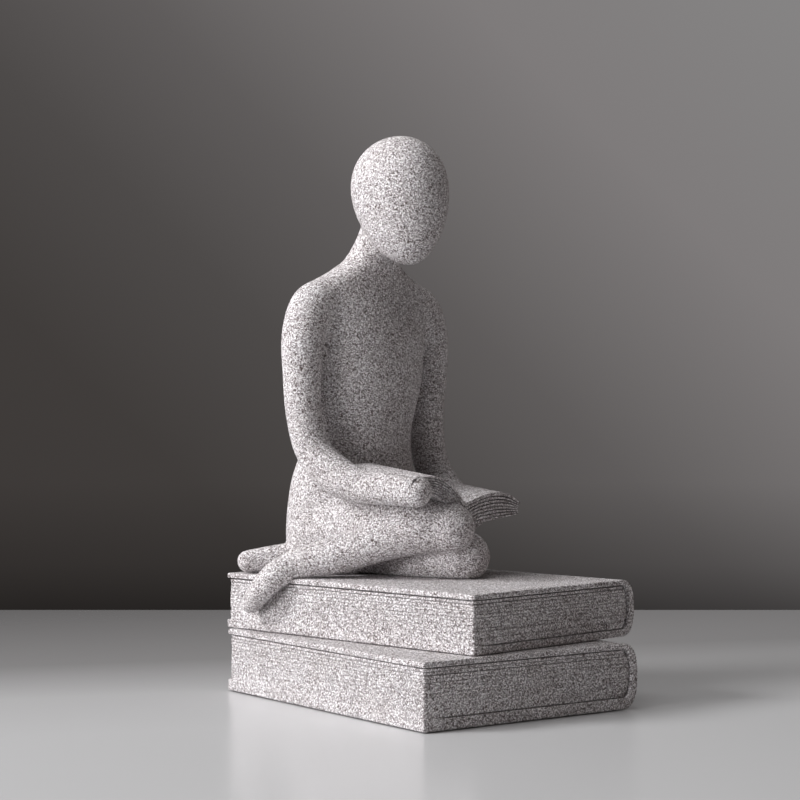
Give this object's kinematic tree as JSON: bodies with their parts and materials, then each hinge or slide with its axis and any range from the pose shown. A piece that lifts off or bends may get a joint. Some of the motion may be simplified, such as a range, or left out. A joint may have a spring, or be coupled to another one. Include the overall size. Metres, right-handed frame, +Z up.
{
  "type": "seated reader sculpture",
  "caption": "Abstract faceless figure seated with folded legs on stacked closed books, reading an open book; matt speckled stone resin, for a shelf or desk.",
  "frame": {"origin": "under the middle of the box round the whole ornament, on the surface that it stands on", "axes": "+Z up, lower book's tail edge faces -Y and its spine faces +X, the reader faces -Y turned 10 degrees to +X"},
  "size_m": [0.125, 0.157, 0.2324],
  "materials": {
    "figure_stone": "matt, speckled, sprayed stone coat",
    "book_stone": "matt, speckled, sprayed stone coat",
    "pin_steel": "bright drawn",
    "dowel_wood": "turned beech",
    "felt": "needled felt"
  },
  "bodies": {
    "root": {"base_felt": "felt", "lower_book": "book_stone", "upper_book": "book_stone", "torso_and_head": "figure_stone", "right_arm": "figure_stone", "left_arm": "figure_stone", "right_leg": "figure_stone", "left_leg": "figure_stone", "open_book": "figure_stone", "shoulder_pin_right": "pin_steel", "shoulder_pin_left": "pin_steel", "hip_pin_right": "pin_steel", "hip_pin_left": "pin_steel", "seat_pin_right": "pin_steel", "seat_pin_left": "pin_steel", "book_dowel_fore_edge": "dowel_wood", "book_dowel_spine": "dowel_wood"}
  },
  "joints": []
}
